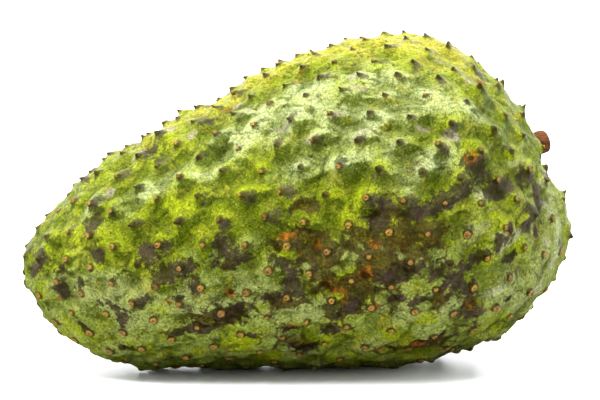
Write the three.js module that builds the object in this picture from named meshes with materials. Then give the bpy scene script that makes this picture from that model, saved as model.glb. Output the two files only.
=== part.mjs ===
// A soursop lying on its side: a lopsided heart-shaped fruit with soft hooked spines, and the
// woody stub of its stalk. Millimetres, +Z up, +X towards the stalk end, -Y is the front.
// The origin is the middle of the flat spot that the fruit rests on.

import * as THREE from 'three';
import { ConvexHull } from 'three/addons/math/ConvexHull.js';

const degree = Math.PI / 180;

// The skin is measured from one heart point. The axis runs from the blossom end to the stalk end.
const heartPoint = new THREE.Vector3(-12, -3, 62.8);
const axisClimb = 14 * degree; // the stalk end lies higher
const axisTurn = 10 * degree; // and further from the front

// Distance from the heart point to the skin, every 20 degrees from blossom end to stalk end.
const upperRadii = [112, 90.5, 67, 56.8, 54.4, 58, 68, 82.5, 92.5, 97];
const flankRadii = [112, 92.5, 71.5, 60.5, 58.5, 62.5, 73.5, 86.5, 95, 97];
const lowerRadii = [112, 99, 76, 64.8, 64.4, 69.8, 83.3, 102, 109.5, 97];

// Low swells and dents of the whole body: height, then waves per unit of direction.
const swells = [
  { height: 0.6, waves: [6.1, 1.7, 2.3], start: 0.4 },
  { height: 0.5, waves: [-3.1, 7.3, 1.1], start: 1.9 },
  { height: 0.45, waves: [2.2, 4.2, 8.7], start: 5.1 },
];

// Spines stand in golden-angle spirals round the axis.
const spines = {
  count: 452,
  start: 12 * degree, // turn of the first spine round the axis
  crowding: 0.5, // how much tighter they stand at the blossom end
  scatter: 0.9, // wander from the exact spiral
  height: 2.8, // tip above the mean skin
  neckHeight: 2,
  footRadius: 2.7,
  neckRadius: 0.9,
  lean: 1.6, // how far a tip reaches past its foot
  neckShift: 0.6, // the neck's share of that reach
  leastLean: 0.55, // shares of the lean that one spine may have
  leanRange: 0.7,
  leanFan: 70 * degree, // all the turn a lean may have about the axis
  leastSize: 0.8,
  sizeRange: 0.4,
  footSides: 5,
  neckSides: 4,
  seed: 20,
};

// On the underside near the stalk the spines hook back, fully so from here on along X.
const hookBack = { from: -10, full: 50, steepness: 1.5, strength: 1.7 };

// Each spine stands on a mound that falls steeply to the blossom end and gently to the stalk.
const mound = { rise: 1.5, steepSide: 3, gentleSide: 6.5, halfWidth: 4 };
const valleyDepth = 0.5; // skin between the mounds, below the mean

// The stalk stands in a shallow dimple, in a round socket.
const dimple = { depth: 4, radius: 10, bareRadius: 13, slopeRings: [11.5, 8] };
const socket = { radius: 5.1, depth: 4, sides: 14 };
const stub = { clearance: 0.3, reach: 10.5, sides: 14 };

const axis = new THREE.Vector3(
  Math.cos(axisClimb) * Math.cos(axisTurn),
  Math.cos(axisClimb) * Math.sin(axisTurn),
  Math.sin(axisClimb),
);
const crown = new THREE.Vector3(
  -Math.sin(axisClimb) * Math.cos(axisTurn),
  -Math.sin(axisClimb) * Math.sin(axisTurn),
  Math.cos(axisClimb),
);
const front = new THREE.Vector3().crossVectors(axis, crown);

// Repeatable random numbers from 0 to 1.
function randomSource(seed) {
  let state = seed >>> 0;
  return function next() {
    state = (state * 1664525 + 1013904223) >>> 0;
    return state / 4294967296;
  };
}

// A smooth curve through evenly spaced radii, level at both ends.
function smoothRadius(radii, latitude) {
  const last = radii.length - 1;
  const place = (latitude / Math.PI) * last;
  const step = Math.min(Math.floor(place), last - 1);
  const t = place - step;
  const before = radii[step === 0 ? 1 : step - 1];
  const from = radii[step];
  const to = radii[step + 1];
  const after = radii[step + 2 > last ? last - 1 : step + 2];
  const bend = 2 * before - 5 * from + 4 * to - after;
  const twist = 3 * (from - to) + after - before;
  return from + 0.5 * t * (to - before + t * (bend + t * twist));
}

// Unit direction at an angle from the blossom end and a turn from the front over the crown.
function directionAt(latitude, turn) {
  const away = Math.sin(latitude);
  return new THREE.Vector3()
    .addScaledVector(axis, -Math.cos(latitude))
    .addScaledVector(front, away * Math.cos(turn))
    .addScaledVector(crown, away * Math.sin(turn));
}

function bodyRadius(direction) {
  const latitude = Math.acos(THREE.MathUtils.clamp(-direction.dot(axis), -1, 1));
  const turn = Math.atan2(direction.dot(crown), direction.dot(front));
  const upright = Math.sin(turn) ** 2;
  const outline = turn > 0 ? upperRadii : lowerRadii;
  let radius = (1 - upright) * smoothRadius(flankRadii, latitude);
  radius += upright * smoothRadius(outline, latitude);
  for (const swell of swells) {
    const [alongX, alongY, alongZ] = swell.waves;
    const phase = alongX * direction.x + alongY * direction.y + alongZ * direction.z;
    radius += swell.height * Math.sin(phase + swell.start);
  }
  const fromStalk = radius * Math.sin(latitude);
  if (latitude > Math.PI / 2) {
    radius -= dimple.depth * Math.exp(-((fromStalk / dimple.radius) ** 2));
  }
  return radius;
}

function skinPoint(direction) {
  return direction.clone().multiplyScalar(bodyRadius(direction)).add(heartPoint);
}

// Outward normal of the skin, from two neighbouring points.
function skinNormal(direction) {
  const step = 0.01;
  const guide = Math.abs(direction.z) < 0.9 ? new THREE.Vector3(0, 0, 1) : new THREE.Vector3(1, 0, 0);
  const sideA = new THREE.Vector3().crossVectors(guide, direction).normalize();
  const sideB = new THREE.Vector3().crossVectors(direction, sideA);
  const acrossA = skinPoint(direction.clone().addScaledVector(sideA, step).normalize())
    .sub(skinPoint(direction.clone().addScaledVector(sideA, -step).normalize()));
  const acrossB = skinPoint(direction.clone().addScaledVector(sideB, step).normalize())
    .sub(skinPoint(direction.clone().addScaledVector(sideB, -step).normalize()));
  return acrossA.cross(acrossB).normalize();
}

function meanRadius(latitude) {
  const ends = smoothRadius(upperRadii, latitude) + smoothRadius(lowerRadii, latitude);
  return (ends + 2 * smoothRadius(flankRadii, latitude)) / 4;
}

// Latitudes that give each spine its share of skin, less at the blossom end.
function spineLatitudes(count) {
  const slices = 720;
  const shares = [0];
  const latitudes = [0];
  let previous = directionAt(0, 0).multiplyScalar(meanRadius(0));
  const length = meanRadius(0) + meanRadius(Math.PI);
  let total = 0;
  for (let slice = 1; slice <= slices; slice += 1) {
    const latitude = (slice / slices) * Math.PI;
    const radius = meanRadius(latitude);
    const girth = 2 * Math.PI * radius * Math.sin(latitude);
    if (latitude > Math.PI / 2 && radius * Math.sin(latitude) < dimple.bareRadius) break;
    const point = directionAt(latitude, 0).multiplyScalar(radius);
    const along = (point.dot(axis) + meanRadius(0)) / length;
    total += girth * point.distanceTo(previous) * Math.exp(-spines.crowding * along);
    shares.push(total);
    latitudes.push(latitude);
    previous = point;
  }
  const found = [];
  let slice = 0;
  for (let index = 0; index < count; index += 1) {
    const wanted = ((index + 0.5) / count) * total;
    while (shares[slice + 1] < wanted) slice += 1;
    const part = (wanted - shares[slice]) / (shares[slice + 1] - shares[slice]);
    found.push(THREE.MathUtils.lerp(latitudes[slice], latitudes[slice + 1], part));
  }
  return found;
}

// Places every spine: its foot on the skin, the way up, the way it leans and its size.
function placeSpines() {
  const random = randomSource(spines.seed);
  const goldenAngle = Math.PI * (3 - Math.sqrt(5));
  return spineLatitudes(spines.count).map((latitude, index) => {
    const turn = spines.start + index * goldenAngle;
    const wander = [random() - 0.5, random() - 0.5].map((draw) => 2 * draw * spines.scatter);
    const size = spines.leastSize + spines.sizeRange * random();
    const leanWay = (random() - 0.5) * spines.leanFan;
    const leanShare = spines.leastLean + spines.leanRange * random();
    const exact = skinPoint(directionAt(latitude, turn));
    const exactUp = skinNormal(directionAt(latitude, turn));
    const along = axis.clone().projectOnPlane(exactUp).normalize();
    const across = new THREE.Vector3().crossVectors(exactUp, along);
    const aim = exact.addScaledVector(along, wander[0]).addScaledVector(across, wander[1]);
    const direction = aim.sub(heartPoint).normalize();
    const foot = skinPoint(direction);
    const up = skinNormal(direction);
    // Tips hook to the blossom end, but on the underside near the stalk they hook back.
    const underside = THREE.MathUtils.clamp(-hookBack.steepness * up.z, 0, 1);
    const nearStalk = THREE.MathUtils.smoothstep(foot.x, hookBack.from, hookBack.full);
    const turnedBack = hookBack.strength * underside * nearStalk;
    const tail = axis.clone().projectOnPlane(up).normalize().applyAxisAngle(up, leanWay);
    const hook = tail.clone().multiplyScalar(-leanShare * (1 - turnedBack));
    // Under the belly a spine is pressed down until its tip just reaches the ground.
    const room = up.z < 0 ? foot.z / -up.z : Infinity;
    const tall = spines.height * size;
    const pressed = THREE.MathUtils.clamp(room / tall, 0, 1);
    return { foot, up, tail, hook, size, pressed, direction };
  });
}

// How far the mounds lift a point of the skin, with every spine's mound counted.
function moundHeight(point, placed) {
  let height = -valleyDepth;
  for (const spine of placed) {
    const away = point.clone().sub(spine.foot);
    if (away.lengthSq() > (3 * mound.gentleSide) ** 2) continue;
    const along = away.dot(spine.tail);
    const across = away.addScaledVector(spine.tail, -along).length();
    const reach = along > 0 ? mound.gentleSide : mound.steepSide;
    const fall = (along / reach) ** 2 + (across / mound.halfWidth) ** 2;
    height += mound.rise * spine.size * spine.pressed * Math.exp(-fall);
  }
  return height;
}

function reliefPoint(direction, placed) {
  const skin = skinPoint(direction);
  return skin.clone().addScaledVector(skinNormal(direction), moundHeight(skin, placed));
}

// A point beside a spine, raised above the mean skin and moved over with the hook.
function besideSpine(spine, radius, angle, height, shift) {
  const along = axis.clone().projectOnPlane(spine.up).normalize();
  const across = new THREE.Vector3().crossVectors(spine.up, along);
  const flat = spine.foot.clone()
    .addScaledVector(along, radius * Math.cos(angle))
    .addScaledVector(across, radius * Math.sin(angle));
  const direction = flat.sub(heartPoint).normalize();
  const place = skinPoint(direction)
    .addScaledVector(spine.up, height * spine.pressed)
    .addScaledVector(spine.hook, shift * spine.pressed);
  return { direction, place };
}

function spinePoints(spine, placed) {
  const points = [besideSpine(spine, 0, 0, spines.height * spine.size, spines.lean)];
  for (let side = 0; side < spines.neckSides; side += 1) {
    const angle = ((side + 0.5) / spines.neckSides) * 2 * Math.PI;
    const height = spines.neckHeight * spine.size;
    const shift = spines.neckShift * spines.lean;
    points.push(besideSpine(spine, spines.neckRadius, angle, height, shift));
  }
  for (let side = 0; side < spines.footSides; side += 1) {
    const angle = (side / spines.footSides) * 2 * Math.PI;
    const { direction } = besideSpine(spine, spines.footRadius, angle, 0, 0);
    points.push({ direction, place: reliefPoint(direction, placed) });
  }
  return points;
}

// Triangles of the convex hull of directions: each is a triple of list positions, facing out.
function hullTriangles(directions) {
  const order = new Map(directions.map((direction, index) => [direction, index]));
  const hull = new ConvexHull().setFromPoints(directions);
  return hull.faces.map((face) => {
    const corners = [];
    let edge = face.edge;
    do {
      corners.push(order.get(edge.head().point));
      edge = edge.next;
    } while (edge !== face.edge);
    return corners;
  });
}

// The lowest skin between three neighbouring mounds.
function valleyPoints(placed) {
  const directions = placed.map((spine) => spine.direction);
  const stalkSide = directionAt(Math.PI, 0);
  return hullTriangles([...directions, stalkSide])
    .filter((corners) => corners.every((corner) => corner < placed.length))
    .map((corners) => {
      const direction = new THREE.Vector3();
      for (const corner of corners) direction.add(directions[corner]);
      direction.normalize();
      return { direction, place: reliefPoint(direction, placed) };
    });
}

// Rings round the stalk: the dimple's slope, the socket's rim and wall, and the socket's floor.
function socketPoints() {
  const points = [];
  const rings = [
    ...dimple.slopeRings.map((radius) => ({ radius, sink: 0, spread: radius })),
    { radius: socket.radius, sink: 0, spread: socket.radius },
    { radius: socket.radius, sink: socket.depth, spread: 0.8 * socket.radius },
    { radius: 0, sink: socket.depth, spread: 0 },
  ];
  const stalkPoint = skinPoint(directionAt(Math.PI, 0));
  const level = stalkPoint.clone().sub(heartPoint).dot(axis);
  rings.forEach((ring, ringIndex) => {
    const sides = ring.radius === 0 ? 1 : socket.sides;
    for (let side = 0; side < sides; side += 1) {
      const turn = ((side + 0.5 * (ringIndex % 2)) / sides) * 2 * Math.PI;
      const out = front.clone().multiplyScalar(Math.cos(turn)).addScaledVector(crown, Math.sin(turn));
      const direction = stalkPoint.clone().addScaledVector(out, ring.spread).sub(heartPoint).normalize();
      const place = ring.sink === 0
        ? skinPoint(direction)
        : heartPoint.clone().addScaledVector(axis, level - ring.sink).addScaledVector(out, ring.radius);
      points.push({ direction, place });
    }
  });
  return points;
}

function closedGeometry(places, triangles) {
  const positions = new Float32Array(places.length * 3);
  places.forEach((place, index) => place.toArray(positions, index * 3));
  const geometry = new THREE.BufferGeometry();
  geometry.setAttribute('position', new THREE.BufferAttribute(positions, 3));
  geometry.setIndex(triangles.flat());
  geometry.computeVertexNormals();
  return geometry;
}

function makeFruit() {
  const placed = placeSpines();
  const onSpines = placed.flatMap((spine) => spinePoints(spine, placed));
  const points = [...onSpines, ...valleyPoints(placed), ...socketPoints()];
  const triangles = hullTriangles(points.map((point) => point.direction));
  // The belly is flat where it meets the ground.
  const places = points.map((point) => point.place.setZ(Math.max(point.place.z, 0)));
  const skin = new THREE.MeshStandardMaterial({ color: 0x7f9a2c, roughness: 0.55, metalness: 0 });
  const fruit = new THREE.Mesh(closedGeometry(places, triangles), skin);
  fruit.name = 'fruit';
  return fruit;
}

// The stalk's stub along +Z from the socket's floor: a foot in the socket, a waist and a round end.
function makeStub() {
  const seat = socket.radius - stub.clearance;
  const length = socket.depth - stub.clearance + stub.reach;
  const outline = [
    { height: 0, radius: seat - 0.5 },
    { height: 0.5, radius: seat },
    { height: socket.depth + 0.4, radius: seat },
    { height: 0.55 * length, radius: 4.3 },
    { height: 0.75 * length, radius: 4.6 },
    { height: 0.91 * length, radius: 4.2 },
    { height: 0.98 * length, radius: 2.9 },
  ];
  const places = [];
  const triangles = [];
  outline.forEach((ring, ringIndex) => {
    for (let side = 0; side < stub.sides; side += 1) {
      const turn = (side / stub.sides) * 2 * Math.PI;
      const gnarl = ringIndex < 3 ? 1 : 1 + 0.06 * Math.sin(3 * turn + ringIndex);
      const radius = ring.radius * gnarl;
      places.push(new THREE.Vector3(radius * Math.cos(turn), radius * Math.sin(turn), ring.height));
    }
  });
  for (let ring = 0; ring + 1 < outline.length; ring += 1) {
    for (let side = 0; side < stub.sides; side += 1) {
      const next = (side + 1) % stub.sides;
      const low = ring * stub.sides;
      const high = low + stub.sides;
      triangles.push([low + side, low + next, high + next]);
      triangles.push([low + side, high + next, high + side]);
    }
  }
  const top = (outline.length - 1) * stub.sides;
  const bottomCentre = places.push(new THREE.Vector3(0, 0, 0)) - 1;
  const topCentre = places.push(new THREE.Vector3(0, 0, length)) - 1;
  for (let side = 0; side < stub.sides; side += 1) {
    const next = (side + 1) % stub.sides;
    triangles.push([bottomCentre, next, side]);
    triangles.push([topCentre, top + side, top + next]);
  }
  const bark = new THREE.MeshStandardMaterial({ color: 0x8a4a26, roughness: 0.8, metalness: 0 });
  const mesh = new THREE.Mesh(closedGeometry(places, triangles), bark);
  mesh.name = 'stem_stub';
  const floor = skinPoint(directionAt(Math.PI, 0)).addScaledVector(axis, stub.clearance - socket.depth);
  mesh.position.copy(floor);
  mesh.quaternion.setFromUnitVectors(new THREE.Vector3(0, 0, 1), axis);
  return mesh;
}

const soursop = new THREE.Group();
soursop.add(makeFruit(), makeStub());

export default soursop;
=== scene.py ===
import math

import bpy
import numpy as np
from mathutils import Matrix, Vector, noise
from mathutils.geometry import delaunay_2d_cdt


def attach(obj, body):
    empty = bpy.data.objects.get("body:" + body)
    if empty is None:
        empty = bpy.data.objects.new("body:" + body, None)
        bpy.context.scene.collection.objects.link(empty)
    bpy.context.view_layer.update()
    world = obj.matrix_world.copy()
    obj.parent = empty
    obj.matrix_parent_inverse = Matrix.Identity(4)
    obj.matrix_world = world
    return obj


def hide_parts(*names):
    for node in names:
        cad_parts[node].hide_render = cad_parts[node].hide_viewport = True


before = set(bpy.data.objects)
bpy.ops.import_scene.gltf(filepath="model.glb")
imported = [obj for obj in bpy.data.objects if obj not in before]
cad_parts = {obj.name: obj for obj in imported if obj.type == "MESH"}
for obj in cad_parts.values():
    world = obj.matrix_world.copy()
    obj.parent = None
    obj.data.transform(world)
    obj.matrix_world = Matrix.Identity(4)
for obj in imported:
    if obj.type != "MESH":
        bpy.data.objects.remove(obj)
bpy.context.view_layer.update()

# A whole soursop lying on its side. Everything is in millimetres until a mesh is made.
millimetre = 0.001
goldenAngle = math.pi * (3 - math.sqrt(5))
batchSize = 4000  # points compared with all the spines at a time

# The body has the same numbers as the solid: radii from the heart point every 20 degrees.
body = {
    "heart": (-12, -3, 62.8),
    "climb": 14,  # degrees, the stalk end lies higher
    "turn": 10,  # degrees, and further from the front
    "upper": [112, 90.5, 67, 56.8, 54.4, 58, 68, 82.5, 92.5, 97],
    "flank": [112, 92.5, 71.5, 60.5, 58.5, 62.5, 73.5, 86.5, 95, 97],
    "lower": [112, 99, 76, 64.8, 64.4, 69.8, 83.3, 102, 109.5, 97],
    "swells": [  # height, waves per unit of direction, start
        (0.6, (6.1, 1.7, 2.3), 0.4),
        (0.5, (-3.1, 7.3, 1.1), 1.9),
        (0.45, (2.2, 4.2, 8.7), 5.1),
    ],
    "dimpleDepth": 4,
    "dimpleRadius": 10,
}

spine = {
    "count": 452,  # some 13 mm apart
    "start": 12,  # degrees round the axis
    "crowding": 0.5,  # tighter at the blossom end
    "bareRadius": 13,  # none this close to the stalk
    "scatter": 0.9,
    "height": 1.8,  # above its mound
    "lean": 1.8,
    "leanSpread": 70,  # degrees
    "sizes": (0.8, 0.4),  # the least, and how much chance adds
    "seed": 20,
    "looksSeed": 7,
    "haloReach": (1.5, 3.0),  # mm, the dark patch beside it, partly bruise and partly painted shadow: the least, and how much chance adds
    # From the broken tip down to the foot: radius, points, share of height, share of lean.
    "rings": [
        (0, 1, 0.7, 1),
        (0.26, 6, 0.84, 1),
        (0.46, 7, 1, 0.98),
        (0.64, 8, 0.9, 0.9),
        (0.85, 9, 0.66, 0.7),
        (1.15, 10, 0.42, 0.46),
        (1.6, 11, 0.2, 0.25),
        (2.2, 13, 0.06, 0.08),
        (3.0, 15, 0, 0),
    ],
}

mound = {
    "rise": 3.0,
    "steepSide": 3.1,
    "gentleSide": 6.6,
    "halfWidth": 4.1,
    "valley": 1.6,
    "flattest": 0.4,  # share of the rise that is left on the crown, the belly and both ends
    "plumpFacing": (0.3, 0.45),  # how far up the plump skin faces, and its spread
    "plumpFrom": (-105, -60),  # mm along X, where it starts and is full
    "plumpTo": (55, 85),
}

skin = {
    "points": 80000,
    "clearOfSpine": 3.55,  # a spine has its own points inside this
    "creaseWidth": 1.5,
    "creaseDepth": 0.5,
    "creaseStray": (3, 6),  # mm, how far a crease wanders and in what length
    "breakSize": 14,  # creases fade out and come back over this
    "swellSize": 15,  # soft hollows and rises as wide as a few spines
    "swellHeight": 1.6,
    "wrinkleSize": 6,
    "wrinkleHeight": 0.7,
    "wrinkleStretch": 0.45,  # they run along the fruit
    "pleats": 10,  # more makes them finer, round the stalk end on the lower side
    "pleatHeight": 0.8,
    "pleatLatitudes": (112, 140),  # degrees from the blossom end, where they start and are full
    "pleatPatch": 13,
    "shadeWay": (0.5, 0, -0.86),  # painted shade on slopes that face this way, down and away from the top light
}

socket = {
    "radius": 5.1,
    "depth": 4,
    "sides": 60,
    "rings": [8.6, 7.9, 7.2, 6.4, 5.8, 5.35],  # mm from the axis, on the skin
    "wall": [(5.1, 0.3), (5.1, 1.6), (5.1, 2.9), (5.0, 4), (3.4, 4), (1.7, 4)],  # radius and depth
    "clearOfRings": 0.8,
    "rim": (0.5, 6.4, 1.1),  # the skin swells round the stalk: height, radius, half width
    "lip": (534, 146, 11, 6, -60, 2.6),  # and folds up before it, like the slack folds
    "smoothTo": (6, 13),  # mm from the axis, where the relief starts and is whole
}

stub = {
    "clearance": 0.3,
    "reach": 11.3,
    "sides": 56,
    "rings": 48,
    "chamfer": 0.5,
    "outline": [(0.55, 4.3), (0.76, 4.8), (0.91, 4.5), (0.975, 3.3)],  # share of the length, radius
    "endHollow": 0.25,
    "gnarl": (0.05, 3, 2.6),  # share of the radius, times round, mm along it for each radian
    "grainDepth": 0.3,
    "grainRound": 3.2,
    "grainAlong": 0.12,
}

camera = {
    "target": (-12, -3, 66),
    "distance": 1000,
    "elevation": 6.5,  # degrees
    "focal": 2525,  # pixels, in a picture 600 wide
    "width": 600,
    "height": 400,
    "sight": (0.86, 1.14, 1400),  # the skin is looked for between these shares of the distance, in steps
}

# Marks on the side that faces the camera.
# Each has its place in the 600 x 400 picture, half its length and width in mm, and its tilt in degrees.
marks = {
    # Bruises where the skin has gone purple-brown.
    "bruise": [
        (376, 218, 5, 3, 0), (384, 206, 3, 2.5, 0), (398, 275, 8, 4, 10), (424, 210, 8, 3, 5),
        (446, 201, 5, 3, 15), (464, 192, 6, 3, 15), (500, 190, 8, 3, 15), (478, 170, 6, 4, -40),
        (526, 178, 5, 4, 10), (540, 200, 3, 6, 10), (530, 212, 3, 5, 30), (550, 170, 3, 4, 0),
        (475, 262, 9, 2.5, 25), (500, 246, 6, 2.2, 25), (455, 283, 5, 4.5, 0), (440, 272, 5, 2.5, 30),
        (471, 290, 3, 4, 0), (472, 315, 5, 3, 10), (507, 298, 2, 2, 0), (513, 259, 3.2, 2, 35),
        (528, 226, 3.5, 2.2, 30), (93, 223, 4.5, 3.2, 60), (166, 273, 4.6, 3.4, -25), (150, 253, 4, 4.5, -40),
        (186, 268, 4.2, 3, 10), (41, 256, 3.4, 3, 50), (36, 270, 5, 2.4, 20), (59, 269, 1.6, 2.2, 0),
        (97, 255, 3.4, 2, -35), (61, 291, 2.6, 3.2, 60), (81, 283, 1.8, 2.2, 0), (112, 306, 7, 1.5, -12),
        (122, 318, 2.4, 3, 0), (85, 328, 3, 1.3, -10), (188, 331, 9, 1.6, 8), (141, 302, 3, 1.8, 20),
        (197, 286, 2.2, 4.4, 10), (129, 347, 4.4, 2.2, 0), (27, 287, 1.5, 2.6, 0), (236, 262, 6, 3, 35),
        (221, 247, 3, 4.6, 0), (292, 284, 3.4, 5, 10), (280, 263, 4, 2, -10), (231, 313, 8, 3.4, 12),
        (205, 327, 7, 2.4, 15), (248, 335, 4.4, 2, 5), (290, 329, 3.6, 1.8, 0), (332, 330, 4, 3, 0),
        (350, 307, 6, 2.4, 30), (302, 349, 4.5, 3, 0), (268, 296, 4.4, 1.4, 0), (429, 341, 6, 3, 5),
        (446, 352, 5, 2, 15), (398, 300, 3, 2, 0), (420, 300, 4, 1.6, 25), (350, 330, 3, 2, 20),
        (208, 122, 2.4, 1.4, 30), (88, 178, 3, 1.6, 50), (152, 150, 3.5, 1.6, 35), (178, 297, 2, 1.4, 0),
    ],
    # A scorched brown net low on the belly.
    "scorch": [
        (395, 236, 9, 12, 10), (412, 258, 7, 6, 20), (322, 268, 5, 9, -15), (312, 244, 6, 4, -20),
        (300, 256, 3, 4, 0), (338, 284, 7, 3, -20), (362, 242, 8, 5, 0), (366, 280, 5, 6, 0),
        (430, 236, 5, 6, 0), (292, 240, 6, 3, 10), (380, 262, 8, 6, 0), (305, 205, 5, 3, 20),
        (221, 316, 7, 3, 12), (420, 345, 9, 3.5, 5), (300, 345, 5, 3, 0), (470, 306, 4, 3, -15),
        (345, 305, 6, 4, 20), (290, 300, 7, 3, 0), (440, 300, 4, 5, 0), (200, 320, 5, 2.4, 10),
    ],
    # Thin ash-grey rubbed places high on the shoulder.
    "rub": [
        (237, 103, 3, 1.6, 20), (248, 110, 2, 1.4, 0), (283, 126, 4, 1.3, 15), (355, 75, 3, 2, 0),
        (357, 88, 3, 1.6, -25), (325, 77, 2, 1.5, 0), (140, 155, 3.5, 1.6, 40), (110, 190, 3, 2, 40),
        (170, 133, 4, 1.6, 35), (192, 136, 3, 1.4, 40), (362, 132, 4, 1.2, 30), (340, 112, 3, 1.2, 10),
        (271, 103, 2.2, 1.6, 0), (313, 138, 3, 1.6, 0), (424, 126, 3, 1.3, 0), (452, 137, 3.4, 2, 20),
        (466, 80, 3, 1, -15), (440, 60, 3, 1, -10), (455, 52, 3, 1, -15), (402, 42, 3, 1, 0),
    ],
    # Rusty and orange corky scars.
    "rust": [
        (231, 292, 2.2, 2, 0), (364, 276, 3, 2.6, 0), (332, 288, 5, 2.4, -20), (508, 229, 2.4, 3.4, 10),
        (538, 232, 3, 4, 20), (471, 157, 2.8, 3, 0),
        (225, 107, 2.2, 1.4, 25), (231, 108, 1.6, 1.2, 0), (302, 70, 4, 1.6, 25), (298, 78, 3, 1.2, 20),
        (482, 82, 3, 1.8, 10), (497, 76, 4, 1.4, -30), (285, 235, 4.4, 1.6, 8), (336, 288, 5, 2, -20),
        (471, 157, 1.9, 2.2, 0), (418, 345, 6, 1.6, 8), (367, 270, 1.8, 1.8, 0), (374, 246, 3, 2, 0),
        (536, 233, 1.8, 2.2, 20), (508, 232, 1.3, 1.8, 0), (345, 297, 2, 1.6, 0), (203, 117, 2.6, 1, 30),
        (150, 147, 3, 1, 35), (376, 306, 1.8, 1.5, 0), (318, 247, 2, 2, 0), (470, 306, 3, 1.4, -15),
        (231, 292, 1.7, 1.5, 0), (291, 327, 2.4, 1.2, 0), (58, 300, 1.2, 1.6, 0), (168, 303, 1.8, 1.4, 0),
        (380, 350, 3, 1.2, 0), (440, 349, 3, 1, 20),
    ],
    # Small dark holes in the scars.
    "hole": [
        (231, 292, 1.4, 1.3, 0), (364, 277, 2, 1.7, 0), (326, 286, 2.4, 1.5, -20), (508, 229, 1.9, 2.8, 10),
        (538, 231, 2.4, 3.4, 20), (471, 158, 1.2, 1.2, 0), (292, 231, 0.8, 0.7, 0), (423, 251, 0.8, 0.8, 0),
    ],
    # Pale painted sheen, the broad highlight of the top light on the waxy skin.
    "paintedSheen": [
        (360, 118, 26, 13, 18), (300, 112, 17, 9, 22), (240, 140, 16, 7, 32), (425, 165, 14, 6, 20),
        (340, 160, 14, 5, 8), (395, 150, 7, 4, 15), (160, 182, 16, 4, 30), (420, 95, 14, 8, -10),
        (300, 165, 11, 5, 15), (205, 175, 7, 3, 20), (470, 110, 8, 4, 0), (90, 205, 6, 3, 45),
        (542, 143, 5, 2.4, -60), (558, 240, 4, 11, 0), (530, 315, 8, 2.5, 40), (392, 82, 16, 9, -20),
        (310, 88, 12, 6, 10), (262, 112, 12, 6, 20),
    ],
    # Duller grey-green patches, low and at the stalk end: partly the skin's own colour, partly painted
    # reflection of the bright room.
    "dull": [
        (120, 300, 22, 11, -14), (200, 300, 16, 8, 0), (540, 250, 9, 22, 0), (510, 290, 12, 12, 30),
        (300, 310, 14, 7, 0), (400, 310, 14, 8, 8), (450, 300, 10, 8, 20), (550, 200, 4, 12, 0),
        (80, 290, 8, 10, -30), (250, 290, 9, 7, 0), (480, 230, 6, 4, 20), (440, 262, 4, 4, 0),
        (560, 235, 5, 14, 0), (525, 300, 8, 8, 30), (372, 254, 14, 8, 0), (318, 262, 8, 6, 0),
    ],
}

# Marks on the side that the camera never sees: how many, and half their least and greatest length.
farMarks = {
    "bruise": (58, 2, 9),
    "scorch": (16, 3, 12),
    "rub": (22, 2, 4),
    "rust": (22, 1.2, 4),
    "hole": (7, 0.9, 2.4),
    "paintedSheen": (10, 7, 20),
    "dull": (9, 9, 20),
}
farSeed = 41

# How the skin tears the edges of the marks.
markEdges = {
    "coarse": 8,  # mm
    "fine": 3,
    "drift": 3.2,  # mm a unit of the noise, for the larger marks
    "smallShare": 0.5,  # of its half length for a small one, so that it keeps its place
    "falloff": 0.7,
    "reach": 12,  # mm, how deep a mark goes, so that it stays on its own side
}

# Folds between the spines where the skin has slackened.
# Each has its place in the picture, its half sizes, its tilt, and its height in mm.
slackFolds = [
    (330, 130, 10, 4, -12, 0.8), (384, 150, 8, 3, 22, 1.0), (354, 163, 8, 2.6, 25, 1.0),
    (318, 172, 9, 3, 25, 0.9), (262, 190, 7, 3.5, 30, 0.7), (300, 197, 9, 2.2, 8, 0.8),
    (365, 194, 5, 2.4, 30, 0.9), (218, 142, 6, 3, 20, 0.7), (192, 177, 7, 3.4, 30, 0.8),
    (112, 202, 7, 3, 30, 0.8), (187, 213, 3.4, 4, 0, 0.7), (93, 248, 3, 4, 20, 0.8),
    (398, 118, 4, 8, -30, 0.6), (440, 112, 8, 3, 20, 0.7), (470, 140, 8, 2.6, 18, 0.7),
    (285, 158, 11, 6, 30, -0.9), (363, 124, 6, 3, 0, -1.0), (397, 133, 7, 4, 20, -1.0),
    (326, 150, 7, 3.4, 20, -0.8), (364, 144, 4, 2.4, 0, -0.9), (389, 167, 9, 3.2, 22, -1.0),
    (358, 187, 6, 2.2, 30, -1.1), (254, 174, 7, 2.6, 10, -0.8), (310, 187, 12, 3, 8, -0.8),
    (215, 160, 8, 3, 25, -0.7), (160, 205, 9, 4, 20, -0.7), (240, 213, 10, 3, 10, -0.7),
    (150, 180, 8, 3, 30, -0.6), (430, 137, 9, 3, 20, -0.8), (456, 166, 8, 3, 15, -0.8),
]


def unit(vectors):
    return vectors / np.linalg.norm(vectors, axis=-1, keepdims=True)


def smoothstep(values, low, high):
    share = np.clip((values - low) / (high - low), 0, 1)
    return share * share * (3 - 2 * share)


def perpendicular(vectors, normals):
    return unit(vectors - (vectors * normals).sum(-1, keepdims=True) * normals)


heart = np.array(body["heart"], float)
climb, bodyTurn = math.radians(body["climb"]), math.radians(body["turn"])
axis = np.array([
    math.cos(climb) * math.cos(bodyTurn),
    math.cos(climb) * math.sin(bodyTurn),
    math.sin(climb),
])
crown = np.array([
    -math.sin(climb) * math.cos(bodyTurn),
    -math.sin(climb) * math.sin(bodyTurn),
    math.cos(climb),
])
front = np.cross(axis, crown)


# A smooth curve through evenly spaced radii, level at both ends.
def smoothRadius(radii, latitude):
    last = len(radii) - 1
    place = latitude / math.pi * last
    step = np.minimum(np.floor(place), last - 1).astype(int)
    t = place - step
    padded = np.array([radii[1], *radii, radii[-2]], float)
    before, low, high, after = (padded[step + k] for k in range(4))
    bend = 2 * before - 5 * low + 4 * high - after
    twist = 3 * (low - high) + after - before
    return low + 0.5 * t * (high - before + t * (bend + t * twist))


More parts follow.
